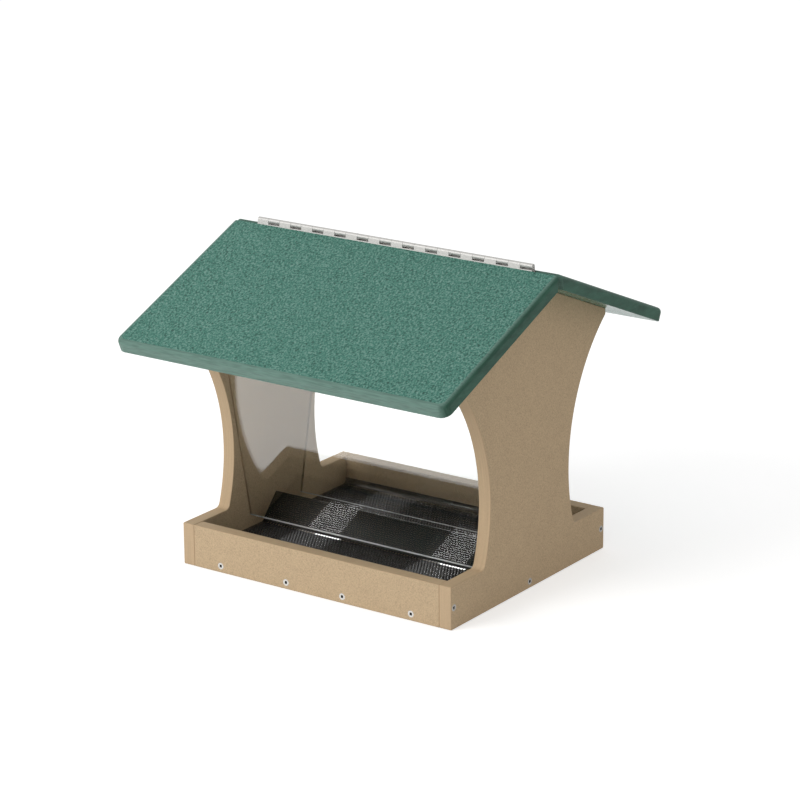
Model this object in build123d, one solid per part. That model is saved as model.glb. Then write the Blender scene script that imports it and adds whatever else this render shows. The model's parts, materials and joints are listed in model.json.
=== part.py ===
from build123d import *
import os
from math import cos, pi, radians, sin, tan

# A two-sided hopper bird feeder of plastic-lumber boards with a hinged roof.
# Sizes are in millimetres and degrees. X runs along the ridge, -Y is the front and Z is up.
# The origin is the middle of the underside.

# Boards and base
board = 12.7                 # thickness of every board
base_length = 300.8          # over the outer faces of the two side panels
base_depth = 254.0           # over the outer faces of the two rails
tray_height = 40.5           # height of the rails and of the side panels beside them

# Side panels: a narrow waist between a wide foot and a wide gable
foot_half_width = 74.4       # where the waist curve meets the tray's rim
waist_half_width = 64.7
waist_height = 97.5
gable_inset = 1.4            # from the rails' outer faces in to the gable's edges
gable_edge = 5.5             # short upright edge just under the roof
heel_radius = 6.0            # inside corner at the tray's rim
gable_corner_radius = 2.0

# Floor slats, which run from front to back with a drain gap on each side of the middle one
centre_slat_width = 95.0
outer_slat_width = 42.7

# Seed tray: a thin sheet bent up into a low tent along its middle and a lip along each rail
sheet = 0.9
tent_half_width = 23.5
tent_height = 25.0           # above the flat part of the sheet
tent_top_radius = 1.5        # radii are at the middle of the sheet's thickness
bend_radius = 5.5            # at the tent's feet and under the lips
lip_edge = 0.8               # upright part of each lip, above its bend
sheet_gap = 0.3              # between the sheet's rim and the boards round it

# Windows, which stand in saw kerfs and lean outwards
window = 3.2                 # thickness of the clear sheet
window_tilt = 11.0           # from upright
window_setback = 10.4        # from the waist's edge in to the middle of the sheet
feed_gap = 11.6              # under each window, above the seed tray
kerf_depth = 4.8
kerf_slack = 0.2             # on each face of a window and at each end
window_top_gap = 0.6         # under the roof

# Roof: two like panels, of which the front one is the lid
pitch = 22.5
ridge_height = 300.3         # where the two top faces would meet
ridge_bevel = 30.0           # of each panel's ridge edge, from square
roof_width = 193.3           # of each top face, from its ridge edge to its eave
roof_overhang = 30.6         # past each side panel
eave_corner_radius = 7.0     # seen from above
top_edge_radius = 4.5
bottom_edge_chamfer = 0.6
lid_gap = 0.2                # between the lid and the gables that it rests on

# Continuous hinge in the joint between the roof panels
hinge_inset = 28.6           # from each end of the roof
knuckle_count = 24
knuckle_gap = 0.2
hinge_rise = 2.9             # of the pin above the ridge
pin_diameter = 2.4
pin_gap = 0.05               # round the pin
leaf = 1.0                   # thickness of each leaf
leaf_margin = 3.0            # from each leaf's free edge to its panel's underside
notch_gap = 1.3              # between a knuckle and the floor of the notch that it turns in
knuckle_sides = 24           # flats round a knuckle
bore_sides = 8               # flats round a knuckle's bore

# Board screws, with countersunk heads and square sockets
screw_length = 38.0
screw_diameter = 3.6
screw_head_diameter = 6.4
screw_head_height = 2.6
screw_tip = 6.0
socket_width = 2.6
socket_depth = 1.6
screw_gap = 0.05             # between a screw and its hole
screw_point = 0.8            # diameter of a screw's blunt point
screw_sides = 12             # flats round a screw and its hole
centre_screw_spacing = 63.3  # between the two screws in each end of the middle slat
outer_screw_inset = 12.1     # from an outer slat's inner edge
rail_screw_inset = 4.7       # from a rail's outer face
roof_screw_eave_inset = 12.0     # from the gable's corner
roof_screw_ridge_inset = 45.0    # from the middle of the ridge

# Hinge screws
hinge_screw_count = 6        # in each leaf
hinge_screw_pitch = 50.8
hinge_screw_length = 9.5
hinge_screw_diameter = 2.8
hinge_screw_head_diameter = 4.6
hinge_screw_tip = 1.5
hinge_screw_inset = 3.5      # from a leaf's free edge

tolerance = 0.01             # within which a drawn corner counts as found

# Places worked out from the sizes
half_length = base_length / 2
half_depth = base_depth / 2
gable_half_width = half_depth - gable_inset
inner_x = half_length - board
inner_y = half_depth - board
tray_top = board + sheet
roof_half_length = half_length + roof_overhang
slope = radians(pitch)
bevel = radians(ridge_bevel)
lean = bevel - slope
tilt = radians(window_tilt)
underside_ridge = ridge_height - board / cos(slope)
gable_top = underside_ridge - gable_half_width * tan(slope)
window_bottom = tray_top + feed_gap
window_bottom_y = waist_half_width - window_setback - (waist_height - window_bottom) * tan(tilt)
bore_radius = pin_diameter / 2 + pin_gap
barrel_radius = bore_radius + leaf
hinge_z = ridge_height + hinge_rise
hinge_half_length = roof_half_length - hinge_inset
knuckle_pitch = 2 * hinge_half_length / knuckle_count
rear_normal = (0, sin(slope), cos(slope))

# Distances down a leaf from the pin's axis
ridge_top_drop = (hinge_rise * cos(slope) + barrel_radius * sin(bevel)) / cos(bevel)
ridge_foot_drop = ridge_top_drop + board / cos(bevel)
leaf_reach = ridge_foot_drop - leaf_margin
notch_drop = barrel_radius + notch_gap
hinge_screw_drop = leaf_reach - hinge_screw_inset


def hinge_plane(side):
    """The plane square to the pin: X from the pin square to one side's leaf, and Y up along the leaf."""
    return Plane(origin=(0, 0, hinge_z), x_dir=(0, side * cos(lean), sin(lean)), z_dir=(side, 0, 0))


def block(low, high):
    """A box between two opposite corners."""
    size = [b - a for a, b in zip(low, high)]
    middle = [(a + b) / 2 for a, b in zip(low, high)]
    return Pos(*middle) * Box(*size)


def extrude_x(face, plane, low, high):
    """Extrude a face drawn on a plane that is square to X, from one X to another."""
    return Pos(low, 0, 0) * extrude(plane * face, high - low, dir=(1, 0, 0))


def taper(*rings):
    """A flat-sided solid round Z between two rings, each given by its radius and height."""
    turns = [2 * pi * i / screw_sides for i in range(screw_sides)]
    return ConvexPolyhedron([(r * cos(turn), r * sin(turn), z) for r, z in rings for turn in turns])


def screw(length, diameter, head_diameter, head_height, tip, gap=0.0):
    """A countersunk screw down -Z, its head's top at the origin, grown by the gap to make its hole."""
    end = length + gap
    neck = (diameter / 2 + gap, -head_height)
    shoulder = (diameter / 2 + gap, tip - end)
    head = taper((head_diameter / 2 + gap, gap), neck)
    return head + taper(neck, shoulder) + taper(shoulder, (screw_point / 2 + gap, -end))


def board_screw():
    """A board screw with its square socket."""
    body = screw(screw_length, screw_diameter, screw_head_diameter, screw_head_height, screw_tip)
    return body - Pos(0, 0, -socket_depth / 2) * Box(socket_width, socket_width, socket_depth)


def board_screw_hole():
    """The countersunk hole that a board screw fills."""
    return screw(
        screw_length, screw_diameter, screw_head_diameter, screw_head_height, screw_tip, screw_gap
    )


def hinge_screw(gap=0.0):
    """A small screw whose head fills the leaf's thickness, grown by the gap to make its hole."""
    return screw(
        hinge_screw_length, hinge_screw_diameter, hinge_screw_head_diameter, leaf, hinge_screw_tip, gap
    )


def placed(places, solid):
    """Copies of a solid, each with its origin and Z axis on one of the places."""
    return [place.location * solid for place in places]


# Screw places: each is a plane on the face that the head is flush with, facing outwards
floor_z = board / 2
outer_screw_x = inner_x - outer_slat_width + outer_screw_inset
floor_screw_x = [-outer_screw_x, -centre_screw_spacing / 2, centre_screw_spacing / 2, outer_screw_x]
front_floor_places = [
    Plane(origin=(x, -half_depth, floor_z), x_dir=(1, 0, 0), z_dir=(0, -1, 0)) for x in floor_screw_x
]
rear_floor_places = [
    Plane(origin=(x, half_depth, floor_z), x_dir=(1, 0, 0), z_dir=(0, 1, 0)) for x in floor_screw_x
]
floor_side_places = [
    Plane(origin=(side * half_length, 0, floor_z), x_dir=(0, 1, 0), z_dir=(side, 0, 0))
    for side in (-1, 1)
]
rail_screw_y = half_depth - rail_screw_inset
rail_end_places = [
    Plane(origin=(side * half_length, y, tray_height / 2), x_dir=(0, 1, 0), z_dir=(side, 0, 0))
    for side in (-1, 1)
    for y in (-rail_screw_y, rail_screw_y)
]
roof_screw_y = [roof_screw_ridge_inset, gable_half_width - roof_screw_eave_inset]
roof_places = [
    Plane(
        origin=(side * (half_length - board / 2), y, ridge_height - y * tan(slope)),
        x_dir=(1, 0, 0), z_dir=rear_normal,
    )
    for side in (-1, 1)
    for y in roof_screw_y
]


def leaf_places(side):
    """The places of the screws in one leaf, on the face that looks at the other leaf."""
    plane = hinge_plane(side)
    middle = (hinge_screw_count - 1) / 2
    spots = [
        (barrel_radius - leaf, -hinge_screw_drop, (i - middle) * hinge_screw_pitch)
        for i in range(hinge_screw_count)
    ]
    return [
        Plane(origin=plane.from_local_coords(spot), x_dir=(1, 0, 0), z_dir=-plane.x_dir) for spot in spots
    ]


def window_plane(side):
    """The plane of a window: X along it, Y up the sheet and Z out of the hopper, from its lower edge."""
    return Plane(
        origin=(0, side * window_bottom_y, window_bottom),
        x_dir=(-side, 0, 0), z_dir=(0, side * cos(tilt), -sin(tilt)),
    )


def window_height():
    """How far a window reaches up its own slope before its outer corner meets the roof's gap."""
    outer_y = window_bottom_y + window / 2 * cos(tilt)
    outer_z = window_bottom - window / 2 * sin(tilt)
    room = underside_ridge - window_top_gap / cos(slope) - outer_z - outer_y * tan(slope)
    return room / (cos(tilt) + sin(tilt) * tan(slope))


def make_window(side):
    """One clear sheet, from the floor of its kerfs to just under the roof."""
    height = window_height()
    width = 2 * (inner_x + kerf_depth - kerf_slack)
    return window_plane(side).location * Pos(0, height / 2, 0) * Box(width, height, window)


def window_kerfs(side):
    """The slot that both kerfs of one window are cut with, open at the top of the gable."""
    height = window_height() + 2 * board
    width = 2 * (inner_x + kerf_depth)
    return window_plane(side).location * Pos(0, height / 2, 0) * Box(width, height, window + 2 * kerf_slack)


def mirrored_corners(face, half_width, height):
    """The two corners of a drawn outline at a half width and a height."""
    found = face.vertices().filter_by(lambda corner: abs(corner.Y - height) < tolerance)
    return found.filter_by(lambda corner: abs(abs(corner.X) - half_width) < tolerance)


def side_outline():
    """A side panel's outline: foot, waist curves, short upright edges and the gable's two slopes."""
    lid_drop = lid_gap / cos(slope)
    peak = (lid_drop / 2 / tan(slope), underside_ridge - lid_drop / 2)
    edge_foot = gable_top - gable_edge
    rear_curve = ThreePointArc(
        (foot_half_width, tray_height), (waist_half_width, waist_height), (gable_half_width, edge_foot)
    )
    front_curve = ThreePointArc(
        (-gable_half_width, edge_foot), (-waist_half_width, waist_height), (-foot_half_width, tray_height)
    )
    foot = Polyline(
        (-foot_half_width, tray_height), (-half_depth, tray_height), (-half_depth, 0),
        (half_depth, 0), (half_depth, tray_height), (foot_half_width, tray_height),
    )
    gable = Polyline(
        (gable_half_width, edge_foot), (gable_half_width, gable_top), peak,
        (-gable_half_width, gable_top - lid_drop), (-gable_half_width, edge_foot),
    )
    face = make_face([foot, rear_curve, gable, front_curve])
    face = fillet(mirrored_corners(face, foot_half_width, tray_height), heel_radius)
    return fillet(mirrored_corners(face, gable_half_width, edge_foot), gable_corner_radius)


def make_side_panel(side):
    """One side panel with its two window kerfs and its screw holes."""
    low, high = sorted((side * inner_x, side * half_length))
    panel = extrude_x(side_outline(), Plane.YZ, low, high)
    places = [p for p in floor_side_places + rail_end_places + roof_places if p.origin.X * side > 0]
    return panel - [window_kerfs(-1), window_kerfs(1)] - placed(places, board_screw_hole())


def make_rail(side):
    """The front or rear rail of the tray, between the side panels."""
    low, high = sorted((side * inner_y, side * half_depth))
    rail = block((-inner_x, low, 0), (inner_x, high, tray_height))
    floor_places = front_floor_places if side < 0 else rear_floor_places
    return rail - placed(floor_places + rail_end_places, board_screw_hole())


def make_slat(low, high):
    """One floor slat between the rails, from one X to another."""
    slat = block((low, -inner_y, 0), (high, inner_y, board))
    places = front_floor_places + rear_floor_places + floor_side_places
    return slat - placed(places, board_screw_hole())


def make_seed_tray():
    """The bent sheet that lies on the slats."""
    half_width = inner_y - sheet_gap - sheet / 2
    middle = board + sheet / 2
    lip_top = middle + bend_radius + lip_edge
    line = FilletPolyline(
        (-half_width, lip_top), (-half_width, middle), (-tent_half_width, middle),
        (0, middle + tent_height),
        (tent_half_width, middle), (half_width, middle), (half_width, lip_top),
        radius=(bend_radius, bend_radius, tent_top_radius, bend_radius, bend_radius),
    )
    half_span = inner_x - sheet_gap
    return extrude_x(trace(line, sheet), Plane.YZ, -half_span, half_span)


def round_roof_panel(panel, side):
    """Round a roof panel's eave corners and top edges and ease the lower ones, but not at the ridge."""
    through = Axis((0, 0, 0), (0, side * sin(slope), cos(slope)))
    panel = fillet(panel.edges().filter_by(through), eave_corner_radius)
    top = panel.faces().sort_by(through)[-1]
    panel = fillet(top.edges().sort_by(Axis.Z)[:-1], top_edge_radius)
    underside = panel.faces().sort_by(through)[0]
    return chamfer(underside.edges().sort_by(Axis.Z)[:-1], bottom_edge_chamfer)


def make_roof_panel(side):
    """One roof panel, its ridge edge bevelled so that the hinge's leaf lies flat on it."""
    eave = (barrel_radius + roof_width * cos(bevel), -ridge_top_drop - roof_width * sin(bevel))
    eave_foot = (eave[0] - board * sin(bevel), eave[1] - board * cos(bevel))
    outline = Polyline(
        (barrel_radius, -ridge_top_drop), (barrel_radius, -ridge_foot_drop), eave_foot, eave, close=True
    )
    panel = extrude_x(make_face(outline), hinge_plane(side), -roof_half_length, roof_half_length)
    return round_roof_panel(panel, side) - placed(leaf_places(side), hinge_screw(screw_gap))


def make_leaf(side, first):
    """One hinge leaf: a flat strip, and every second knuckle of the barrel from the first one given."""
    middle = barrel_radius - leaf / 2
    strip = Pos(middle, -(leaf_reach + notch_drop) / 2) * Rectangle(leaf, leaf_reach - notch_drop)
    tab = Pos(middle, -notch_drop / 2) * Rectangle(leaf, notch_drop)
    bore = RegularPolygon(bore_radius, bore_sides, major_radius=False)
    knuckle = RegularPolygon(barrel_radius, knuckle_sides) + tab - bore
    plane = hinge_plane(side)
    solid = extrude_x(strip, plane, -hinge_half_length, hinge_half_length)
    knuckles = []
    for i in range(first, knuckle_count, 2):
        low = i * knuckle_pitch - hinge_half_length + knuckle_gap / 2
        knuckles.append(extrude_x(knuckle, plane, low, low + knuckle_pitch - knuckle_gap))
    return solid + knuckles - placed(leaf_places(side), hinge_screw(screw_gap))


def make_pin():
    """The hinge pin, as long as the barrel."""
    return extrude_x(Circle(pin_diameter / 2), hinge_plane(1), -hinge_half_length, hinge_half_length)


centre_edge = centre_slat_width / 2
outer_edge = inner_x - outer_slat_width
nodes = {
    "left_side_panel": make_side_panel(-1),
    "right_side_panel": make_side_panel(1),
    "front_tray_rail": make_rail(-1),
    "rear_tray_rail": make_rail(1),
    "left_floor_slat": make_slat(-inner_x, -outer_edge),
    "centre_floor_slat": make_slat(-centre_edge, centre_edge),
    "right_floor_slat": make_slat(outer_edge, inner_x),
    "seed_tray": make_seed_tray(),
    "front_window": make_window(-1),
    "rear_window": make_window(1),
    "front_roof_panel": make_roof_panel(-1),
    "rear_roof_panel": make_roof_panel(1) - placed(roof_places, board_screw_hole()),
    "hinge_front_leaf": make_leaf(-1, 0),
    "hinge_rear_leaf": make_leaf(1, 1),
    "hinge_pin": make_pin(),
    "rail_end_screws": placed(rail_end_places, board_screw()),
    "floor_side_screws": placed(floor_side_places, board_screw()),
    "front_floor_screws": placed(front_floor_places, board_screw()),
    "rear_floor_screws": placed(rear_floor_places, board_screw()),
    "rear_roof_screws": placed(roof_places, board_screw()),
    "front_leaf_screws": placed(leaf_places(-1), hinge_screw()),
    "rear_leaf_screws": placed(leaf_places(1), hinge_screw()),
}

os.makedirs("parts", exist_ok=True)
for name, shape in nodes.items():
    whole = Compound(children=shape) if isinstance(shape, list) else shape
    export_step(whole, f"parts/{name}.step")
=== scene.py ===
"""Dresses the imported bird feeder: boards, roof, hinge, windows, seed tray, screws and a plain stage.

Lengths are in metres. X runs along the ridge, -Y is the front and Z is up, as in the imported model.
"""

import json
from math import atan2, cos, hypot, pi, radians, sin, sqrt, tan

import bpy
import numpy as np
from bpy.props import FloatProperty, FloatVectorProperty, IntProperty, PointerProperty
from mathutils import Matrix, Vector


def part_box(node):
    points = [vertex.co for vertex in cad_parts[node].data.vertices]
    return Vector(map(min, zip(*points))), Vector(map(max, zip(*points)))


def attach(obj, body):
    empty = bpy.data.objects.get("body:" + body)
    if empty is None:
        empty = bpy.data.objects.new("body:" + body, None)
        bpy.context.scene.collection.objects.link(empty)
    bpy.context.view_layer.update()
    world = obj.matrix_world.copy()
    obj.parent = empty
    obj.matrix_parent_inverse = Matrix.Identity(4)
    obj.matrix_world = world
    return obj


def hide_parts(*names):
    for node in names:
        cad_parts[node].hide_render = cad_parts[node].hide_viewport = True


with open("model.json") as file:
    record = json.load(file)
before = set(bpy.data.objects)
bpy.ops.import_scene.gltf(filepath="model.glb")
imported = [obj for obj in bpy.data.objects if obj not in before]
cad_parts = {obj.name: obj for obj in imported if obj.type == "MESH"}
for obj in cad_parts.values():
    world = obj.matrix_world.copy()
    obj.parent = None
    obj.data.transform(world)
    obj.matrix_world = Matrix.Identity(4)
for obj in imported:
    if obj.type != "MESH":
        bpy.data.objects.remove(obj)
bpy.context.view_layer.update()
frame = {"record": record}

bl_info = {
    "name": "Bird Feeder",
    "version": (1, 0, 0),
    "blender": (4, 5, 0),
    "location": "View3D > Sidebar > Bird Feeder",
    "description": "Builds the pieces and finishes of a two-sided hopper bird feeder and its stage",
    "category": "Object",
}

SIDES = {"front": -1, "rear": 1}
ENDS = {"left": -1, "right": 1}
BODIES = {"front": "roof_lid", "rear": "frame"}    # what each side's roof panel and hinge leaf ride on
BOTH_ENDS = ((-1, 0, 0), (1, 0, 0))

CORNER_SHARE = 1.5    # radius of a board's corners for each unit of its edges' ease
RECESS_ROOM = 0.01    # room round a board screw's head for each unit of its diameter
LEAF_EASE = 0.1       # easing of a hinge leaf's edges for each unit of its thickness
PIN_DOME = 0.5        # height of the domes on the pin's ends for each unit of its radius
SCREW_TIP = 0.1       # radius of a screw's tip for each unit of its shank's radius
SCREW_TAPER = 0.85    # where a screw starts to taper, for each unit of its length
SOCKET_FLOOR = 0.4    # radius of a socket's floor for each unit of half its width
ROW_SHARE = sqrt(3) / 2    # distance between the tray's rows of holes for each unit of their pitch
KNUCKLE_SWEEP = radians(290)    # how far a leaf rolls round the pin
FACING = 0.99         # least cosine at which a face's normal lies along a direction
SHARP_BOARD = 35      # degrees from which an edge of a board or screw stays sharp
SHARP_SHEET = 50      # degrees from which an edge of bent sheet stays sharp
WELD_STEPS = 1e7      # steps in a metre, to which points are rounded before they are welded

# Points along each arc, and sides of what is turned
CORNER_STEPS = 5
HEEL_STEPS = 9
WAIST_STEPS = 61
GABLE_STEPS = 7
BEND_STEPS = 13
SECTION_SAMPLES = 40001
TOP_EDGE_STEPS = 9
EAVE_STEPS = 11
KNUCKLE_STEPS = 24
DOME_STEPS = 6
PIN_SIDES = 20
SCREW_SIDES = 32
HINGE_SCREW_SIDES = 24

# Places of the shades of a finish along its noise, and how its noises are turned off the axes
TWO_STOPS = (0.35, 0.65)
THREE_STOPS = (0.34, 0.5, 0.66)
NOISE_TURN = (0.5, 0.6, 0.7)
WHITE = (1.0, 1.0, 1.0)

# The camera's place round the object, from the photograph
CAMERA_TURN = radians(35.369)
CAMERA_RISE = radians(17.656)
CAMERA_ROLL = radians(-0.447)
CAMERA_DISTANCE = 2.925857
CAMERA_TARGET = Vector((0.004198, 0.004136, 0.152311))
CAMERA_LENS = 142.857
CAMERA_SENSOR = 36.0

# The floor, the main lamp and the black screen against glare
FLOOR_REACH = 30.0
FLOOR_DROP = 0.0002
FLOOR_GLOW = (0.46, 0.46, 0.46, 1)    # what the floor adds to its own colour where it is seen
KEY_SIZE = (1.4, 1.4)
KEY_PLACE = (-1.0, -2.0, 1.3)
KEY_TARGET = (0, 0, 0.12)
FLAG_FEET = np.array([(-1.126, -0.872, 0.0), (-0.374, -1.368, 0.0)])
FLAG_HEIGHT = 0.4


def node_box(node):
    """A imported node's lowest and highest corners as arrays."""
    low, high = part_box(node)
    return np.array(low), np.array(high)


RAIL_LOW, RAIL_HIGH = node_box("rear_tray_rail")
PANEL_LOW, PANEL_HIGH = node_box("right_side_panel")
TRAY_LOW, TRAY_HIGH = node_box("seed_tray")
ROOF_HIGH = node_box("rear_roof_panel")[1]
PIN_HIGH = node_box("hinge_pin")[1]
BOARD = RAIL_HIGH[1] - RAIL_LOW[1]
PIN_HEIGHT = frame["record"]["behaviour"]["joints"][0]["pos_m"][2]

# Lit parts of the table top, in front of the feeder and under its tray, each by two corners
TABLE_RISE = 0.001
FRONT_TABLE = ((-1.4, -1.4), (0.5, -1.01 * RAIL_HIGH[1]))
UNDER_TRAY = (TRAY_LOW[:2] + (0, 0.008), TRAY_HIGH[:2])
UNDER_TRAY_SHARE = 2.5    # its brightness for each unit of the table's in front


def length(name, description, default):
    """A length that a user may change."""
    return FloatProperty(
        name=name, description=description, default=default, min=0, unit="LENGTH", precision=5
    )


def angle(name, description, degrees):
    """An angle that a user may change, given in degrees."""
    return FloatProperty(name=name, description=description, default=radians(degrees), unit="ROTATION")


def light_level(name, description, default):
    """A level of the studio light that a user may change."""
    return FloatProperty(name=name, description=description, default=default, min=0)


def colour(name, description, default):
    """A linear colour that a user may change."""
    return FloatVectorProperty(
        name=name, description=description, default=default, size=3, min=0, max=1, subtype="COLOR"
    )


class FeederSizes(bpy.types.PropertyGroup):
    """Sizes of the boards, roof, windows, tray, hinge and screws."""

    edge_ease: length("Edge ease", "Rounding of the boards' sawn edges", 0.0007)
    foot_half_width: length("Foot half width", "Where the waist curve meets the tray's rim", 0.0744)
    waist_half_width: length("Waist half width", "Narrowest half width of a side panel", 0.0647)
    waist_height: length("Waist height", "Height of the narrowest place", 0.0975)
    gable_inset: length("Gable inset", "From the rails' outer faces in to the gable's edges", 0.0014)
    gable_edge: length("Gable edge", "Short upright edge under the roof", 0.0055)
    heel_radius: length("Heel radius", "Inside corner at the tray's rim", 0.006)
    gable_corner_radius: length("Gable corner radius", "Corner under the gable's edge", 0.002)
    kerf_slack: length("Kerf slack", "Room on each face of a window", 0.0004)
    window: length("Window thickness", "Thickness of the clear sheets", 0.0032)
    window_ease: length("Window edge ease", "Rounding of the clear sheets' edges", 0.0005)
    window_tilt: angle("Window tilt", "Lean of the windows from upright", 11)
    pitch: angle("Roof pitch", "Slope of the roof panels", 22.5)
    ridge_bevel: angle("Ridge bevel", "Bevel of the panels' ridge edges from square", 30)
    roof_width: length("Roof width", "Top face of a panel, from ridge to eave", 0.1933)
    eave_corner_radius: length("Eave corner radius", "Corners of a roof panel seen from above", 0.0095)
    top_edge_radius: length("Top edge radius", "Rounding of a roof panel's top edges", 0.0045)
    bottom_edge_chamfer: length("Bottom edge chamfer", "Easing of a roof panel's lower edges", 0.0006)
    lid_gap: length("Lid gap", "Between the lid and the gables", 0.0002)
    hinge_rise: length("Hinge rise", "Of the pin above the ridge", 0.0029)
    leaf: length("Leaf thickness", "Of the hinge's leaves", 0.001)
    leaf_margin: length("Leaf margin", "From a leaf's free edge to its panel's underside", 0.003)
    knuckle_radius: length("Knuckle radius", "Outside of the hinge's barrel", 0.00224)
    knuckle_gap: length("Knuckle gap", "Between neighbouring knuckles", 0.0002)
    notch_gap: length("Notch gap", "Under the other leaf's knuckles", 0.0013)
    knuckle_count: IntProperty(name="Knuckles", description="Along the hinge", default=24, min=2)
    sheet: length("Sheet thickness", "Of the seed tray", 0.0009)
    tent_half_width: length("Tent half width", "Of the tray's bent-up middle", 0.0235)
    tent_height: length("Tent height", "Above the flat part of the tray", 0.025)
    tent_top_radius: length("Tent top radius", "Bend along the top of the tent", 0.0015)
    bend_radius: length("Bend radius", "At the tent's feet and under the lips", 0.0055)
    lip_edge: length("Lip edge", "Upright part of each lip", 0.0008)
    hole_pitch: length("Hole pitch", "Between holes along a row", 0.003175)
    hole_diameter: length("Hole diameter", "Of the tray's perforation", 0.0025)
    rim_margin: length("Rim margin", "Plain sheet at the ends of the rows of holes", 0.003)
    screw_head: length("Screw head", "Diameter of a board screw's head", 0.0064)
    screw_shank: length("Screw shank", "Diameter of a board screw", 0.0036)
    screw_length: length("Screw length", "Of a board screw", 0.038)
    screw_head_height: length("Screw head height", "Of a board screw", 0.0026)
    socket: length("Socket", "Width of a board screw's square socket", 0.0026)
    socket_depth: length("Socket depth", "Of a board screw", 0.0016)
    centre_screw_spacing: length("Middle slat screws", "Between the screws in its ends", 0.0633)
    outer_screw_inset: length("Outer slat screws", "From an outer slat's inner edge", 0.0121)
    rail_screw_inset: length("Rail end screws", "From a rail's outer face", 0.0047)
    roof_screw_eave_inset: length("Lower roof screws", "From the gable's corner", 0.012)
    roof_screw_ridge_inset: length("Upper roof screws", "From the middle of the ridge", 0.045)
    hinge_screw_head: length("Hinge screw head", "Diameter", 0.0046)
    hinge_screw_shank: length("Hinge screw shank", "Diameter", 0.0028)
    hinge_screw_length: length("Hinge screw length", "From the leaf's face to the point", 0.0095)
    hinge_screw_pitch: length("Hinge screw pitch", "Along a leaf", 0.0508)
    hinge_screw_inset: length("Hinge screw inset", "From a leaf's free edge", 0.0035)
    hinge_screw_count: IntProperty(name="Hinge screws", description="In each leaf", default=6, min=1)


class FeederFinish(bpy.types.PropertyGroup):
    """Colours of the finishes and levels of the studio light."""

    taupe: colour("Taupe", "Faces of the taupe boards", (0.5, 0.371, 0.232))
    taupe_edge: colour("Taupe edge", "Sawn edges of the taupe boards", (0.495, 0.36, 0.224))
    green: colour("Green", "Grained faces of the roof", (0.037, 0.165, 0.122))
    green_edge: colour("Green edge", "Smooth rounded edges of the roof", (0.108, 0.19, 0.157))
    # painted shade: the roof boards' ends take this darker colour for the shade on them, over their own
    # streaks
    shaded_green_end: colour("Green end", "Sawn ends of the roof boards", (0.032, 0.09, 0.062))
    black: colour("Black", "Coat of the seed tray", (0.02, 0.019, 0.018))
    clear: colour("Clear", "Tint of the windows", (0.985, 0.992, 0.988))
    # painted shade: the windows' side edges are coloured dark for the shade down in the kerfs
    clear_side_shade: colour("Clear side", "Dusty side edges of the windows, in the kerfs", (0.05, 0.042, 0.03))
    hinge: colour("Hinge", "Steel of the hinge", (0.5, 0.49, 0.47))
    screw: colour("Screw", "Steel of the screws", (0.36, 0.35, 0.33))
    # painted shade: the sockets' dark colour stands for the shade deep inside them
    socket: colour("Socket", "Dull steel inside the screws' sockets", (0.1, 0.1, 0.1))
    floor: colour("Floor", "Colour of the floor", (0.8, 0.8, 0.8))
    flag: colour("Flag", "Black screen that keeps glare off the windows", (0.02, 0.02, 0.02))
    sky: light_level("Sky", "Strength of the light all round", 0.68)
    key: light_level("Key", "Power of the main lamp in watts", 34.0)
    table: light_level("Table", "Brightness of the lit table in reflections", 1.36)


# Meshes and pieces


def build_mesh(name, points, blocks):
    """Put an array of points and blocks of faces, each an array with one row per face, into a mesh."""
    mesh = bpy.data.meshes.new(name)
    faces = sum((block.tolist() for block in blocks), [])
    mesh.from_pydata(points.reshape(-1, 3).tolist(), [], faces)
    mesh.update()
    return mesh


def signed_volume(points, blocks):
    """Six times the volume inside closed faces, added up over fans of triangles from each first corner."""
    total = 0.0
    for block in blocks:
        corners = points[block]
        total += np.sum(corners[:, :1] * np.cross(corners[:, 1:-1], corners[:, 2:]))
    return total


def closed_rings(rings):
    """Points and faces of a skin over rings of points, closed by a cap at the first and last ring.

    Quads join each ring to the next, and the skin is turned so that it faces outwards.
    """
    count, size = rings.shape[:2]
    index = np.arange(count * size).reshape(count, size)
    following = np.roll(index, -1, axis=1)
    walls = np.stack([index[:-1], following[:-1], following[1:], index[1:]], axis=-1).reshape(-1, 4)
    caps = np.stack([index[0, ::-1], index[-1]])
    points = rings.reshape(-1, 3)
    blocks = [caps, walls]
    if signed_volume(points, blocks) < 0:
        blocks = [block[:, ::-1] for block in blocks]
    return points, blocks


def copies(shape, places):
    """One shape repeated at places, each a 4 by 4 matrix: every point turned and moved by each matrix."""
    points, blocks = shape
    matrices = np.array(places)
    moved = np.einsum("kij,nj->kni", matrices[:, :3, :3], points) + matrices[:, None, :3, 3]
    shift = np.arange(len(matrices)) * len(points)
    repeated = [(block[None] + shift[:, None, None]).reshape(-1, block.shape[1]) for block in blocks]
    return moved.reshape(-1, 3), repeated


def together(shapes):
    """Several shapes, each with its points and blocks of faces, as one shape."""
    starts = np.cumsum([0] + [len(points) for points, _ in shapes])
    blocks = [block + start for (_, faces), start in zip(shapes, starts) for block in faces]
    return np.concatenate([points for points, _ in shapes]), blocks


def place(origin, x_axis, z_axis):
    """A matrix at a point, with its X axis and its Z axis along the two directions given."""
    x_axis, z_axis = Vector(x_axis).normalized(), Vector(z_axis).normalized()
    matrix = Matrix((x_axis, z_axis.cross(x_axis), z_axis)).transposed().to_4x4()
    matrix.translation = Vector(origin)
    return matrix


def add_object(name, mesh, materials):
    """Link a mesh to the scene as an object with its materials."""
    piece = bpy.data.objects.new(name, mesh)
    bpy.context.scene.collection.objects.link(piece)
    for finish in materials:
        mesh.materials.append(finish)
    return piece


def finish_piece(piece, body, nodes, sharp=SHARP_BOARD):
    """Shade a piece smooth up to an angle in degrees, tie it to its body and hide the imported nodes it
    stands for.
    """
    mesh = piece.data
    mesh.polygons.foreach_set("use_smooth", np.ones(len(mesh.polygons), dtype=bool))
    mesh.set_sharp_from_angle(angle=radians(sharp))
    normals = piece.modifiers.new("even_faces", "WEIGHTED_NORMAL")
    normals.keep_sharp = True
    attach(piece, body)
    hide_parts(*nodes)


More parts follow.
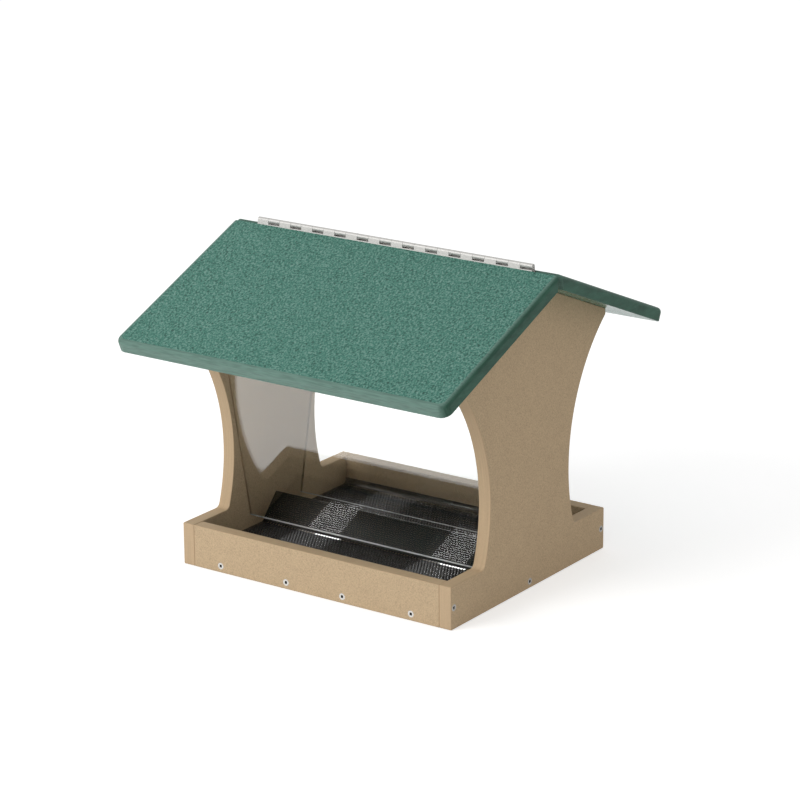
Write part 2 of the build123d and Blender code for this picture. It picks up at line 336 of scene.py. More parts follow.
def thicken(piece, thickness):
    """Give a sheet its thickness, half to each side."""
    wall = piece.modifiers.new("thickness", "SOLIDIFY")
    wall.thickness = thickness
    wall.offset = 0


def carve(piece, shape):
    """Cut a closed shape out of a piece with an exact Boolean and keep the result as its mesh."""
    mesh = build_mesh("cutter", *shape)
    mesh.polygons.foreach_set("material_index", np.ones(len(mesh.polygons), dtype=np.int32))
    cutter = add_object("cutter", mesh, [])
    boolean = piece.modifiers.new("carve", "BOOLEAN")
    boolean.operation = "DIFFERENCE"
    boolean.solver = "EXACT"
    boolean.object = cutter
    graph = bpy.context.evaluated_depsgraph_get()
    carved = bpy.data.meshes.new_from_object(piece.evaluated_get(graph))
    whole = piece.data
    piece.modifiers.clear()
    piece.data = carved
    bpy.data.objects.remove(cutter)
    bpy.data.meshes.remove(mesh)
    bpy.data.meshes.remove(whole)
    carved.name = piece.name


# Outlines and plates


def rounded_corners(corners, ease, steps=CORNER_STEPS):
    """A polygon with each corner turned into an arc that swings from one tangent point to the next."""
    radius = CORNER_SHARE * ease
    back = np.roll(corners, 1, axis=0) - corners
    on = np.roll(corners, -1, axis=0) - corners
    back /= np.linalg.norm(back, axis=1, keepdims=True)
    on /= np.linalg.norm(on, axis=1, keepdims=True)
    half = np.arccos(np.clip(np.sum(back * on, axis=1), -1, 1))[:, None] / 2
    middle = back + on
    centre = corners + middle / np.linalg.norm(middle, axis=1, keepdims=True) * radius / np.sin(half)
    start = corners + back * radius / np.tan(half) - centre
    end = corners + on * radius / np.tan(half) - centre
    swing = (pi - 2 * half)[:, None]
    share = np.linspace(0, 1, steps)[None, :, None]
    arcs = np.sin((1 - share) * swing) * start[:, None] + np.sin(share * swing) * end[:, None]
    return (centre[:, None] + arcs / np.sin(swing)).reshape(-1, 2)


def rectangle(low, high):
    """The four corners between two opposite ones, anticlockwise."""
    return np.array([(low[0], low[1]), (high[0], low[1]), (high[0], high[1]), (low[0], high[1])])


def arc(centre, radius, start, end, steps):
    """Points on a circle from one angle to another."""
    turn = np.linspace(start, end, steps)
    return np.stack([centre[0] + radius * np.cos(turn), centre[1] + radius * np.sin(turn)], axis=1)


def mitres(outline):
    """How far each corner of an anticlockwise outline moves when its edges move inwards by one."""
    along = np.roll(outline, -1, axis=0) - outline
    along /= np.linalg.norm(along, axis=1, keepdims=True)
    inward = np.stack([-along[:, 1], along[:, 0]], axis=1)
    before = np.roll(inward, 1, axis=0)
    return (before + inward) / (1 + np.sum(before * inward, axis=1, keepdims=True))


def plate(outline, thickness, ease, origin, axes, steps=4):
    """A board with eased edges: its outline raised along an axis, drawn in by a quarter circle at both faces.

    The three axes carry the outline's two coordinates and the thickness.
    """
    turn = np.linspace(0, pi / 2, steps)
    inset = ease * (1 - np.sin(turn))
    height = ease * (1 - np.cos(turn))
    insets = np.concatenate([inset, inset[::-1]])
    heights = np.concatenate([height, thickness - height[::-1]])
    flat = outline[None] + insets[:, None, None] * mitres(outline)[None]
    raised = np.broadcast_to(heights[:, None, None], flat.shape[:2] + (1,))
    local = np.concatenate([flat, raised], axis=-1)
    return closed_rings(np.asarray(origin) + local @ np.asarray(axes, dtype=float))


def two_finish_piece(name, shape, face_material, edge_material):
    """A board as an object, its two faces in one material and its edges in the other."""
    points, blocks = shape
    mesh = build_mesh(name, points, blocks)
    edge = np.ones(len(mesh.polygons), dtype=np.int32)
    edge[:len(blocks[0])] = 0
    piece = add_object(name, mesh, [face_material, edge_material])
    mesh.polygons.foreach_set("material_index", edge)
    return piece


# Side panels, rails and slats


def circle_through(first, second, third):
    """The centre and radius of the circle through three points, where two perpendicular bisectors meet."""
    points = np.array([first, second, third])
    rows = 2 * (points[1:] - points[0])
    sums = np.sum(points[1:] ** 2, axis=1) - np.sum(points[0] ** 2)
    centre = np.linalg.solve(rows, sums)
    return centre, np.linalg.norm(points[0] - centre)


def half_outline(sizes, gable_top):
    """One half of a side panel's outline, from its lower corner up to its gable's upper corner.

    The waist is an arc of the circle through the foot, the waist and the gable. Smaller arcs that touch it
    round the heel and the gable's lower corner.
    """
    rim, half_depth = RAIL_HIGH[2], RAIL_HIGH[1]
    gable = half_depth - sizes.gable_inset
    foot = (sizes.foot_half_width, rim)
    waist = (sizes.waist_half_width, sizes.waist_height)
    centre, radius = circle_through(foot, waist, (gable, gable_top - sizes.gable_edge))
    heel, corner = sizes.heel_radius, sizes.gable_corner_radius
    heel_z = rim + heel
    heel_y = centre[0] - sqrt((radius - heel) ** 2 - (heel_z - centre[1]) ** 2)
    corner_y = gable - corner
    corner_z = centre[1] + sqrt((radius + corner) ** 2 - (corner_y - centre[0]) ** 2)
    heel_turn = atan2(heel_z - centre[1], heel_y - centre[0]) % (2 * pi)
    corner_turn = atan2(corner_z - centre[1], corner_y - centre[0])
    blunt = CORNER_SHARE * sizes.edge_ease
    low = arc((half_depth - blunt, blunt), blunt, -pi / 2, 0, CORNER_STEPS)
    rim_corner = arc((half_depth - blunt, rim - blunt), blunt, 0, pi / 2, CORNER_STEPS)
    heel_arc = arc((heel_y, heel_z), heel, -pi / 2, heel_turn - 2 * pi, HEEL_STEPS)
    waist_arc = arc(centre, radius, heel_turn, corner_turn, WAIST_STEPS)[1:]
    corner_arc = arc((corner_y, corner_z), corner, corner_turn - pi, 0, GABLE_STEPS)[1:]
    top = np.array([[gable, gable_top]])
    return np.concatenate([low, rim_corner, heel_arc, waist_arc, corner_arc, top])


def side_outline(sizes):
    """A side panel's outline, anticlockwise: the rear half, the peak, and the front half mirrored.

    The front slope is lower by the lid's gap.
    """
    rise = tan(sizes.pitch)
    drop = sizes.lid_gap / cos(sizes.pitch)
    ridge = PIN_HEIGHT - sizes.hinge_rise - BOARD / cos(sizes.pitch)
    gable_top = ridge - (RAIL_HIGH[1] - sizes.gable_inset) * rise
    rear = half_outline(sizes, gable_top)
    front = half_outline(sizes, gable_top)
    front[-1, 1] -= drop
    peak = np.array([[drop / 2 / rise, ridge - drop / 2]])
    return np.concatenate([rear, peak, front[::-1] * (-1, 1)])


def window_axes(sizes, side):
    """A window's directions: along it, up the sheet and out of the hopper."""
    lean, rise = sin(sizes.window_tilt), cos(sizes.window_tilt)
    return np.array([(1, 0, 0), (0, side * lean, rise), (0, side * rise, -lean)])


def window_sheet(sizes, name):
    """A leaning sheet's half width and half height, its middle and its axes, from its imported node's box."""
    low, high = node_box(f"{name}_window")
    height = (high[2] - low[2] - sizes.window * sin(sizes.window_tilt)) / cos(sizes.window_tilt)
    return np.array([(high[0] - low[0]) / 2, height / 2]), (low + high) / 2, window_axes(sizes, SIDES[name])


def window_slot(sizes, name):
    """The slot that both kerfs of one window are cut with, open at the top of the gable."""
    half, middle, axes = window_sheet(sizes, name)
    thickness = sizes.window + 2 * sizes.kerf_slack
    outline = rectangle(-half - (sizes.kerf_slack, 0), half + (sizes.kerf_slack, 2 * BOARD))
    return plate(outline, thickness, 0, middle - axes[2] * thickness / 2, axes, 1)


def screw_recess(sizes):
    """The countersink that a board screw's head fills, a little wider than the head."""
    room = RECESS_ROOM * sizes.screw_head
    head, shank = sizes.screw_head / 2 + room, sizes.screw_shank / 2 + room
    deep = sizes.screw_head_height + room
    return closed_rings(lathe([(shank, -2 * deep), (shank, -deep), (head, 0), (head, deep)], SCREW_SIDES))


def recesses(sizes, node, end=0):
    """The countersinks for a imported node's screws: all of them, or those towards one end of the feeder."""
    places = [matrix for matrix in screw_places(sizes)[node] if matrix.translation.x * end >= 0]
    return copies(screw_recess(sizes), places)


def build_board(context, name, node, edge_name, outline, origin, axes, cuts=()):
    """Build one taupe board from its outline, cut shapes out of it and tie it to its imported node.

    Its thickness lies along the last axis, across the streaks on its sawn edges.
    """
    sizes, finish = context.scene.feeder_sizes, context.scene.feeder_finish
    shape = plate(outline, BOARD, sizes.edge_ease, origin, axes)
    faces = material("taupe_face", board_face, finish.taupe)
    edges = material(edge_name, sawn_edge, finish.taupe_edge, axes[2])
    piece = two_finish_piece(name, shape, faces, edges)
    if cuts:
        carve(piece, together(cuts))
    finish_piece(piece, "frame", [node])


class FEEDER_OT_side_panels(bpy.types.Operator):
    """Build the two waisted side panels with their window kerfs and countersinks"""

    bl_idname = "feeder.side_panels"
    bl_label = "Side panels"

    def execute(self, context):
        sizes = context.scene.feeder_sizes
        outline = side_outline(sizes)
        axes = ((0, 1, 0), (0, 0, 1), (1, 0, 0))
        kerfs = [window_slot(sizes, name) for name in SIDES]
        for name, end in ENDS.items():
            origin = (min(end * PANEL_LOW[0], end * PANEL_HIGH[0]), 0, 0)
            own = [recesses(sizes, node, end) for node in ("floor_side_screws", "rail_end_screws")]
            build_board(
                context, f"{name}_panel", f"{name}_side_panel", "taupe_panel_edge", outline, origin, axes,
                kerfs + own,
            )
        return {"FINISHED"}


class FEEDER_OT_tray_rails(bpy.types.Operator):
    """Build the front and rear rails of the tray"""

    bl_idname = "feeder.tray_rails"
    bl_label = "Tray rails"

    def execute(self, context):
        sizes = context.scene.feeder_sizes
        axes = ((1, 0, 0), (0, 0, 1), (0, 1, 0))
        for name in SIDES:
            low, high = node_box(f"{name}_tray_rail")
            outline = rounded_corners(rectangle(low[[0, 2]], high[[0, 2]]), sizes.edge_ease)
            build_board(
                context, f"{name}_rail", f"{name}_tray_rail", "taupe_rail_edge", outline, (0, low[1], 0),
                axes, [recesses(sizes, f"{name}_floor_screws")],
            )
        return {"FINISHED"}


class FEEDER_OT_floor_slats(bpy.types.Operator):
    """Build the three floor slats"""

    bl_idname = "feeder.floor_slats"
    bl_label = "Floor slats"

    def execute(self, context):
        sizes = context.scene.feeder_sizes
        axes = ((1, 0, 0), (0, 1, 0), (0, 0, 1))
        for name in ("left", "centre", "right"):
            low, high = node_box(f"{name}_floor_slat")
            outline = rounded_corners(rectangle(low[:2], high[:2]), sizes.edge_ease)
            build_board(
                context, f"{name}_slat", f"{name}_floor_slat", "taupe_slat_edge", outline, (0, 0, low[2]),
                axes,
            )
        return {"FINISHED"}


# Windows


class FEEDER_OT_windows(bpy.types.Operator):
    """Build the two clear leaning windows"""

    bl_idname = "feeder.windows"
    bl_label = "Windows"

    def execute(self, context):
        sizes, finish = context.scene.feeder_sizes, context.scene.feeder_finish
        for name in SIDES:
            half, middle, axes = window_sheet(sizes, name)
            outline = rounded_corners(rectangle(-half, half), sizes.window_ease)
            shape = plate(outline, sizes.window, sizes.window_ease, middle - axes[2] * sizes.window / 2, axes)
            faces = material("clear_face", clear_face, finish.clear)
            edges = material("clear_edge", clear_edge, finish.clear)
            piece = two_finish_piece(f"{name}_pane", shape, faces, edges)
            # the side edges in the kerfs get a dark colour as painted shade
            give_faces(piece, material("clear_side_shade", clear_side_shade, finish.clear_side_shade), BOTH_ENDS)
            finish_piece(piece, "frame", [f"{name}_window"])
        return {"FINISHED"}


# Seed tray


def tray_section(sizes):
    """The tray's cross-section: lengths along the sheet where its runs and bends end, and a line to look up.

    The heading changes evenly along each bend and is steady along each run. Added up along the sheet, it
    gives the line, from the front lip's top over the tent to the rear lip's top.
    """
    rise = atan2(sizes.tent_height, sizes.tent_half_width)
    foot_cut = sizes.bend_radius * tan(rise / 2)
    top_cut = sizes.tent_top_radius * tan(rise)
    half_width = TRAY_HIGH[1] - sizes.sheet / 2
    flat = half_width - sizes.bend_radius - sizes.tent_half_width - foot_cut
    slope = hypot(sizes.tent_half_width, sizes.tent_height) - foot_cut - top_cut
    lip_bend = sizes.bend_radius * pi / 2
    half = [sizes.lip_edge, lip_bend, flat, sizes.bend_radius * rise, slope]
    stops = np.cumsum([0] + half + [2 * sizes.tent_top_radius * rise] + half[::-1])
    headings = [-pi / 2, -pi / 2, 0, 0, rise, rise, -rise, -rise, 0, 0, pi / 2, pi / 2]
    along = np.linspace(0, stops[-1], SECTION_SAMPLES)
    heading = np.interp(along, stops, headings)
    step = along[1]
    y = np.cumsum(np.cos(heading)) * step
    z = np.cumsum(np.sin(heading)) * step
    middle = TRAY_LOW[2] + sizes.sheet / 2
    floor = z[np.searchsorted(along, (stops[2] + stops[3]) / 2)]
    return stops, (along, y - (y[0] + y[-1]) / 2, z - floor + middle)


def on_sheet(flat, line):
    """Points of the flat sheet, by place along X and length along the sheet, carried onto the bent one."""
    along, y, z = line
    return np.stack([flat[:, 0], np.interp(flat[:, 1], along, y), np.interp(flat[:, 1], along, z)], axis=1)


def grid_quads(xs, lengths):
    """Quads of the flat sheet between all neighbouring places along X and lengths along the sheet."""
    point = np.stack(np.meshgrid(xs, lengths), axis=-1)
    quads = np.stack([point[:-1, :-1], point[:-1, 1:], point[1:, 1:], point[1:, :-1]], axis=2)
    return quads.reshape(-1, 4, 2)


def perforated_quads(sizes, low, high):
    """Quads of a sheet with staggered rows of round holes between two lengths along it.

    Each hole sits in a brick of sheet, ten quads from its ten-sided rim to the brick's edge, and each row of
    bricks is half a brick out from the next. Plain quads fill the rows' ends up to the sheet's rim.
    """
    pitch, half_span = sizes.hole_pitch, TRAY_HIGH[0]
    columns = int((2 * (half_span - sizes.rim_margin) - pitch / 2) / pitch)
    rows = round((high - low) / (pitch * ROW_SHARE))
    height = (high - low) / rows
    left = -(columns + 0.5) * pitch / 2
    turn = radians(18) + np.arange(10) * pi / 5
    rim = np.stack([np.cos(turn), np.sin(turn)], axis=1) * sizes.hole_diameter / 2
    edge = np.array(
        [(3, 1), (3, 3), (0, 3), (-3, 3), (-3, 1), (-3, -1), (-3, -3), (0, -3), (3, -3), (3, -1)]
    ) * (pitch / 6, height / 6)
    brick = np.stack([rim, edge, np.roll(edge, -1, axis=0), np.roll(rim, -1, axis=0)], axis=1)
    row = np.arange(rows)
    middle_x = left + (np.arange(columns)[None] + 0.5 + (row[:, None] % 2) / 2) * pitch
    middle_u = np.broadcast_to(low + (row[:, None] + 0.5) * height, middle_x.shape)
    middles = np.stack([middle_x, middle_u], axis=-1).reshape(-1, 1, 1, 2)
    bricks = (middles + brick[None]).reshape(-1, 4, 2)
    levels = low + np.arange(3 * rows + 1) * height / 3
    right = left + (columns + 0.5) * pitch
    ends = [grid_quads([-half_span, left], levels), grid_quads([right, half_span], levels)]
    halves = [
        grid_quads(
            [left, left + pitch / 2] if number % 2 else [right - pitch / 2, right],
            levels[3 * number:3 * number + 4],
        )
        for number in range(rows)
    ]
    xs = np.concatenate([[-half_span], left + np.arange(2 * columns + 2) * pitch / 2, [half_span]])
    return np.concatenate([bricks] + ends + halves), xs


def sheet_piece(name, quads, line, sizes, coat):
    """Weld quads of the flat sheet, bend them along the section and make them a piece of the tray."""
    flat = quads.reshape(-1, 2)
    keys = np.round(flat * WELD_STEPS).astype(np.int64)
    _, first, inverse = np.unique(keys, axis=0, return_index=True, return_inverse=True)
    mesh = build_mesh(name, on_sheet(flat[first], line), [inverse.reshape(-1, 4)])
    piece = add_object(name, mesh, [coat])
    thicken(piece, sizes.sheet)
    finish_piece(piece, "frame", ["seed_tray"], SHARP_SHEET)


class FEEDER_OT_seed_tray(bpy.types.Operator):
    """Build the seed tray, bent from one sheet, as two perforated floors and a plain tent"""

    bl_idname = "feeder.seed_tray"
    bl_label = "Seed tray"

    def execute(self, context):
        sizes, finish = context.scene.feeder_sizes, context.scene.feeder_finish
        stops, line = tray_section(sizes)
        total = stops[-1]
        row = sizes.hole_pitch * ROW_SHARE
        low, high = stops[2] - row, stops[3] + 2 * sizes.sheet + row / 2
        foot = stops[4]
        coat = material("black_coat", black_coat, finish.black)
        plans = {
            "front_floor": (0, low, high, foot),
            "rear_floor": (total - foot, total - high, total - low, total),
        }
        for name, (start, first_row, last_row, end) in plans.items():
            holes, xs = perforated_quads(sizes, first_row, last_row)
            before = grid_quads(xs, np.linspace(start, first_row, BEND_STEPS))
            after = grid_quads(xs, np.linspace(last_row, end, BEND_STEPS))
            sheet_piece(f"tray_{name}", np.concatenate([holes, before, after]), line, sizes, coat)
        over_tent = np.concatenate([[foot], np.linspace(stops[5], stops[6], BEND_STEPS), [total - foot]])
        tent = grid_quads([-TRAY_HIGH[0], TRAY_HIGH[0]], over_tent)
        sheet_piece("tray_tent", tent, line, sizes, coat)
        return {"FINISHED"}


# Roof and hinge


def hinge_axes(sizes, side):
    """Directions square to one side's leaf, up along the leaf, down the roof and out of the roof."""
    slope = sizes.pitch
    lean = sizes.ridge_bevel - slope
    square = np.array((0, side * cos(lean), sin(lean)))
    up = np.array((0, -side * sin(lean), cos(lean)))
    down_roof = np.array((0, side * cos(slope), -sin(slope)))
    out_of_roof = np.array((0, side * sin(slope), cos(slope)))
    return square, up, down_roof, out_of_roof


def ridge_top_drop(sizes):
    """How far a panel's upper ridge edge lies below the pin along the leaf."""
    bevel = sizes.ridge_bevel
    return (sizes.hinge_rise * cos(sizes.pitch) + sizes.knuckle_radius * sin(bevel)) / cos(bevel)


def leaf_reach(sizes):
    """How far a leaf reaches down from the pin."""
    return ridge_top_drop(sizes) + BOARD / cos(sizes.ridge_bevel) - sizes.leaf_margin


def roof_rings(sizes):
    """Rings of a roof panel by X, distance down the roof and height over its top face.

    Each ring is a rectangle with two rounded eave corners. Its ends and eave are drawn in by a chamfer at the
    bottom and a quarter circle at the top, and its ridge edge runs along the bevel.
    """
    chamfer, top = sizes.bottom_edge_chamfer, sizes.top_edge_radius
    turn = np.linspace(0, pi / 2, TOP_EDGE_STEPS)
    inset = np.concatenate([[chamfer, 0], top * (1 - np.cos(turn))])[:, None]
    height = np.concatenate([[-BOARD, chamfer - BOARD], top * (np.sin(turn) - 1)])[:, None]
    end = ROOF_HIGH[0] - inset
    eave = sizes.roof_width - inset
    ridge = -height * tan(sizes.ridge_bevel)
    radius = sizes.eave_corner_radius - inset
    swing = np.linspace(0, pi / 2, EAVE_STEPS)[None]
    right_x = end - radius + radius * np.cos(swing)
    right_s = eave - radius + radius * np.sin(swing)
    x = np.concatenate([-end, end, right_x, -right_x[:, ::-1]], axis=1)
    s = np.concatenate([ridge, ridge, right_s, right_s[:, ::-1]], axis=1)
    return np.stack([x, s, np.broadcast_to(height, x.shape)], axis=-1)


def give_faces(piece, finish, directions):
    """Add a finish for the faces whose normals lie along one of some directions."""
    mesh = piece.data
    normals = np.empty(3 * len(mesh.polygons), dtype=np.float32)
    index = np.empty(len(mesh.polygons), dtype=np.int32)
    mesh.polygons.foreach_get("normal", normals)
    mesh.polygons.foreach_get("material_index", index)
    mesh.materials.append(finish)
    along = normals.reshape(-1, 3) @ np.transpose(directions)
    index[np.max(along, axis=1) > FACING] = len(mesh.materials) - 1
    mesh.polygons.foreach_set("material_index", index)


class FEEDER_OT_roof_panels(bpy.types.Operator):
    """Build the lifting front roof panel and the fixed rear one"""

    bl_idname = "feeder.roof_panels"
    bl_label = "Roof panels"

    def execute(self, context):
        sizes, finish = context.scene.feeder_sizes, context.scene.feeder_finish
        rings = roof_rings(sizes)
        for name, side in SIDES.items():
            square, up, down_roof, out_of_roof = hinge_axes(sizes, side)
            origin = np.array((0, 0, PIN_HEIGHT)) + sizes.knuckle_radius * square - ridge_top_drop(sizes) * up
            shape = closed_rings(origin + rings @ np.array(((1, 0, 0), down_roof, out_of_roof)))
            faces = material("green_grain", roof_grain, finish.green)
            edges = material("green_edge", roof_edge, finish.green_edge, finish.shaded_green_end)
            piece = two_finish_piece(f"{name}_roof", shape, faces, edges)
            give_faces(piece, material("green_under", roof_under, finish.green), [-out_of_roof])
            if name == "rear":
                carve(piece, recesses(sizes, "rear_roof_screws"))
            finish_piece(piece, BODIES[name], [f"{name}_roof_panel"])
        return {"FINISHED"}


def leaf_sheet(sizes, side, first):
    """The middle surface of one hinge leaf: a strip below the pin whose teeth roll up round it.

    Along X it steps from knuckle edge to knuckle edge. Across, it runs straight up to the pin's height and
    then round a circle. Above the notches only the leaf's own knuckles have faces.
    """
    half = PIN_HIGH[0]
    pitch = 2 * half / sizes.knuckle_count
    own = np.arange(first, sizes.knuckle_count, 2)
    low = own * pitch - half + sizes.knuckle_gap / 2
    high = low + pitch - sizes.knuckle_gap
    xs = np.unique(np.round(np.concatenate([[-half], low, high, [half]]), 7))
    radius = sizes.knuckle_radius - sizes.leaf / 2
    notch = sizes.knuckle_radius + sizes.notch_gap
    turn = np.linspace(0, KNUCKLE_SWEEP, KNUCKLE_STEPS)
    across = np.concatenate([[radius, radius], radius * np.cos(turn)])
    along = np.concatenate([[-leaf_reach(sizes), -notch], radius * np.sin(turn)])
    square, up, _, _ = hinge_axes(sizes, side)
    section = across[:, None] * square + along[:, None] * up + (0, 0, PIN_HEIGHT)
    points = section[:, None] + xs[None, :, None] * np.array((1, 0, 0))
    index = np.arange(points.shape[0] * points.shape[1]).reshape(points.shape[:2])
    quads = np.stack([index[:-1, :-1], index[:-1, 1:], index[1:, 1:], index[1:, :-1]], axis=-1)
    middle = (xs[:-1] + xs[1:]) / 2
    tooth = np.any((middle[:, None] > low) & (middle[:, None] < high), axis=1)
    kept = np.concatenate([quads[0], quads[1:][:, tooth].reshape(-1, 4)])
    used, inverse = np.unique(kept, return_inverse=True)
    return points.reshape(-1, 3)[used], [inverse.reshape(-1, 4)]


class FEEDER_OT_hinge(bpy.types.Operator):
    """Build the continuous hinge's two rolled leaves and its pin"""

    bl_idname = "feeder.hinge"
    bl_label = "Hinge"

    def execute(self, context):
        sizes, finish = context.scene.feeder_sizes, context.scene.feeder_finish
        steel = material("hinge_steel", satin_steel, finish.hinge)
        for first, (name, side) in enumerate(SIDES.items()):
            mesh = build_mesh(f"{name}_leaf", *leaf_sheet(sizes, side, first))
            piece = add_object(f"{name}_leaf", mesh, [steel])
            thicken(piece, sizes.leaf)
            ease = piece.modifiers.new("ease", "BEVEL")
            ease.width = LEAF_EASE * sizes.leaf
            ease.segments = 2
            ease.limit_method = "ANGLE"
            ease.angle_limit = radians(SHARP_SHEET)
            finish_piece(piece, BODIES[name], [f"hinge_{name}_leaf"], SHARP_SHEET)
        radius, half = PIN_HIGH[1], PIN_HIGH[0]
        turn = np.linspace(0, pi / 2, DOME_STEPS)[:-1]
        dome = np.stack([radius * np.cos(turn), half - PIN_DOME * radius * (1 - np.sin(turn))], axis=1)
        profile = np.concatenate([dome[::-1] * (1, -1), dome])
        axis = place((0, 0, PIN_HEIGHT), (0, 1, 0), (1, 0, 0))
        mesh = build_mesh("pin", *copies(closed_rings(lathe(profile, PIN_SIDES)), [axis]))
        piece = add_object("pin", mesh, [steel])
        finish_piece(piece, "frame", ["hinge_pin"])
        return {"FINISHED"}


# Screws


def lathe(profile, sides):
    """Rings round Z: each row of the profile is a radius and a height."""
    turn = np.linspace(0, 2 * pi, sides, endpoint=False)
    radius, height = np.asarray(profile, dtype=float).T
    flat = radius[:, None, None] * np.stack([np.cos(turn), np.sin(turn)], axis=1)[None]
    raised = np.broadcast_to(height[:, None, None], flat.shape[:2] + (1,))
    return np.concatenate([flat, raised], axis=-1)


def squared(rings, shares):
    """Rings pushed out from circles towards squares of the same width, by a share for each ring."""
    reach = np.max(np.abs(rings[..., :2]), axis=-1, keepdims=True)
    radius = np.linalg.norm(rings[..., :2], axis=-1, keepdims=True)
    stretch = 1 + np.asarray(shares)[:, None, None] * (radius / reach - 1)
    return np.concatenate([rings[..., :2] * stretch, rings[..., 2:]], axis=-1)


def board_screw(sizes):
    """A countersunk screw down -Z: a turned profile whose inner rings square off into the driver's socket."""
    head, shank = sizes.screw_head / 2, sizes.screw_shank / 2
    socket, deep = sizes.socket / 2, sizes.socket_depth
    lip = 0.03 * head
    profile = [
        (SCREW_TIP * shank, -sizes.screw_length), (shank, -SCREW_TAPER * sizes.screw_length),
        (shank, -sizes.screw_head_height), (head, -3 * lip), (head, -lip), (head - lip, 0),
        (0.75 * head, 0), (socket + lip, 0), (socket, -lip), (socket, -deep),
        (SOCKET_FLOOR * socket, -deep - lip),
    ]
    return closed_rings(squared(lathe(profile, SCREW_SIDES), [0, 0, 0, 0, 0, 0, 0, 1, 1, 1, 0]))


def socket_shade_faces(count):
    """For the faces of some board screws in a row, 1 in the sockets, where painted shade goes, and 0
    elsewhere.

    Each screw's two caps come first, the point's and the socket's. The socket's walls are its last two rings.
    """
    caps = np.tile([0, 1], count)
    walls = np.tile(np.repeat([0] * 8 + [1] * 2, SCREW_SIDES), count)
    return np.concatenate([caps, walls]).astype(np.int32)


def hinge_screw(sizes):
    """A small screw down -Z with a low domed head and a square socket."""
    head, shank = sizes.hinge_screw_head / 2, sizes.hinge_screw_shank / 2
    dome, socket = 0.1 * head, 0.38 * head
    profile = [
        (SCREW_TIP * shank, -sizes.hinge_screw_length),
        (shank, -SCREW_TAPER * sizes.hinge_screw_length),
        (shank, -sizes.leaf), (head, -dome), (head, 0), (0.9 * head, 0.6 * dome), (0.6 * head, dome),
        (socket, dome), (socket, -2 * dome), (SOCKET_FLOOR * socket, -3 * dome),
    ]
    return closed_rings(squared(lathe(profile, HINGE_SCREW_SIDES), [0, 0, 0, 0, 0, 0, 0, 1, 1, 0]))


def screw_places(sizes):
    """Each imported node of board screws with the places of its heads, flush with the faces around them."""
    half_length, half_depth = PANEL_HIGH[0], RAIL_HIGH[1]
    floor, rim = BOARD / 2, RAIL_HIGH[2]
    outer_x = node_box("right_floor_slat")[0][0] + sizes.outer_screw_inset
    centre_x = sizes.centre_screw_spacing / 2
    rail_y = half_depth - sizes.rail_screw_inset
    roof_x = half_length - BOARD / 2
    roof_y = [sizes.roof_screw_ridge_inset, half_depth - sizes.gable_inset - sizes.roof_screw_eave_inset]
    ridge = PIN_HEIGHT - sizes.hinge_rise
    out_of_roof = hinge_axes(sizes, 1)[3]
    places = {
        f"{name}_floor_screws": [
            place((x, side * half_depth, floor), (1, 0, 0), (0, side, 0))
            for x in (-outer_x, -centre_x, centre_x, outer_x)
        ]
        for name, side in SIDES.items()
    }
    places["floor_side_screws"] = [
        place((end * half_length, 0, floor), (0, 1, 0), (end, 0, 0)) for end in ENDS.values()
    ]
    places["rail_end_screws"] = [
        place((end * half_length, y, rim / 2), (0, 1, 0), (end, 0, 0))
        for end in ENDS.values()
        for y in (-rail_y, rail_y)
    ]
    places["rear_roof_screws"] = [
        place((end * roof_x, y, ridge - y * tan(sizes.pitch)), (1, 0, 0), out_of_roof)
        for end in ENDS.values()
        for y in roof_y
    ]
    return places


class FEEDER_OT_board_screws(bpy.types.Operator):
    """Build the countersunk screws that hold the boards together"""

    bl_idname = "feeder.board_screws"
    bl_label = "Board screws"

    def execute(self, context):
        sizes, finish = context.scene.feeder_sizes, context.scene.feeder_finish
        steel = material("screw_steel", turned_steel, finish.screw)
        socket_shade = material("socket_shade_steel", socket_shade_steel, finish.socket)
        for node, places in screw_places(sizes).items():
            mesh = build_mesh(f"{node}_turned", *copies(board_screw(sizes), places))
            piece = add_object(f"{node}_turned", mesh, [steel, socket_shade])
            # the socket faces take the dark colour of painted shade
            mesh.polygons.foreach_set("material_index", socket_shade_faces(len(places)))
            finish_piece(piece, "frame", [node])
        return {"FINISHED"}


class FEEDER_OT_hinge_screws(bpy.types.Operator):
    """Build the small screws that hold the hinge's leaves"""

    bl_idname = "feeder.hinge_screws"
    bl_label = "Hinge screws"

    def execute(self, context):
        sizes, finish = context.scene.feeder_sizes, context.scene.feeder_finish
        steel = material("screw_steel", turned_steel, finish.screw)
        count = sizes.hinge_screw_count
        xs = (np.arange(count) - (count - 1) / 2) * sizes.hinge_screw_pitch
        drop = leaf_reach(sizes) - sizes.hinge_screw_inset
        for name, side in SIDES.items():
            square, up, _, _ = hinge_axes(sizes, side)
            face = (sizes.knuckle_radius - sizes.leaf) * square - drop * up + (0, 0, PIN_HEIGHT)
            places = [place(face + (x, 0, 0), (1, 0, 0), -square) for x in xs]
            mesh = build_mesh(f"{name}_hinge_screws", *copies(hinge_screw(sizes), places))
            piece = add_object(f"{name}_hinge_screws", mesh, [steel])
            finish_piece(piece, BODIES[name], [f"{name}_leaf_screws"])
        return {"FINISHED"}


# Finishes


def material(name, make, *values):
    """A finish by name, made on its first use."""
    found = bpy.data.materials.get(name)
    if found:
        return found
    made = bpy.data.materials.new(name)
    made.use_nodes = True
    make(made.node_tree, made.node_tree.nodes["Principled BSDF"], *values)
    return made


def connect(tree, node, **values):
    """Give a node's inputs, named with _ for each space, plain values or other nodes' outputs.

    A name that is no input's is a setting of the node.
    """
    for key, value in values.items():
        name = key.replace("_", " ")
        if name not in node.inputs:
            setattr(node, key, value)
        elif isinstance(value, bpy.types.NodeSocket):
            tree.links.new(value, node.inputs[name])
        else:
            node.inputs[name].default_value = value
    return node


def add_node(tree, kind, **values):
    """A new node with its inputs and settings given by name."""
    return connect(tree, tree.nodes.new(kind), **values)


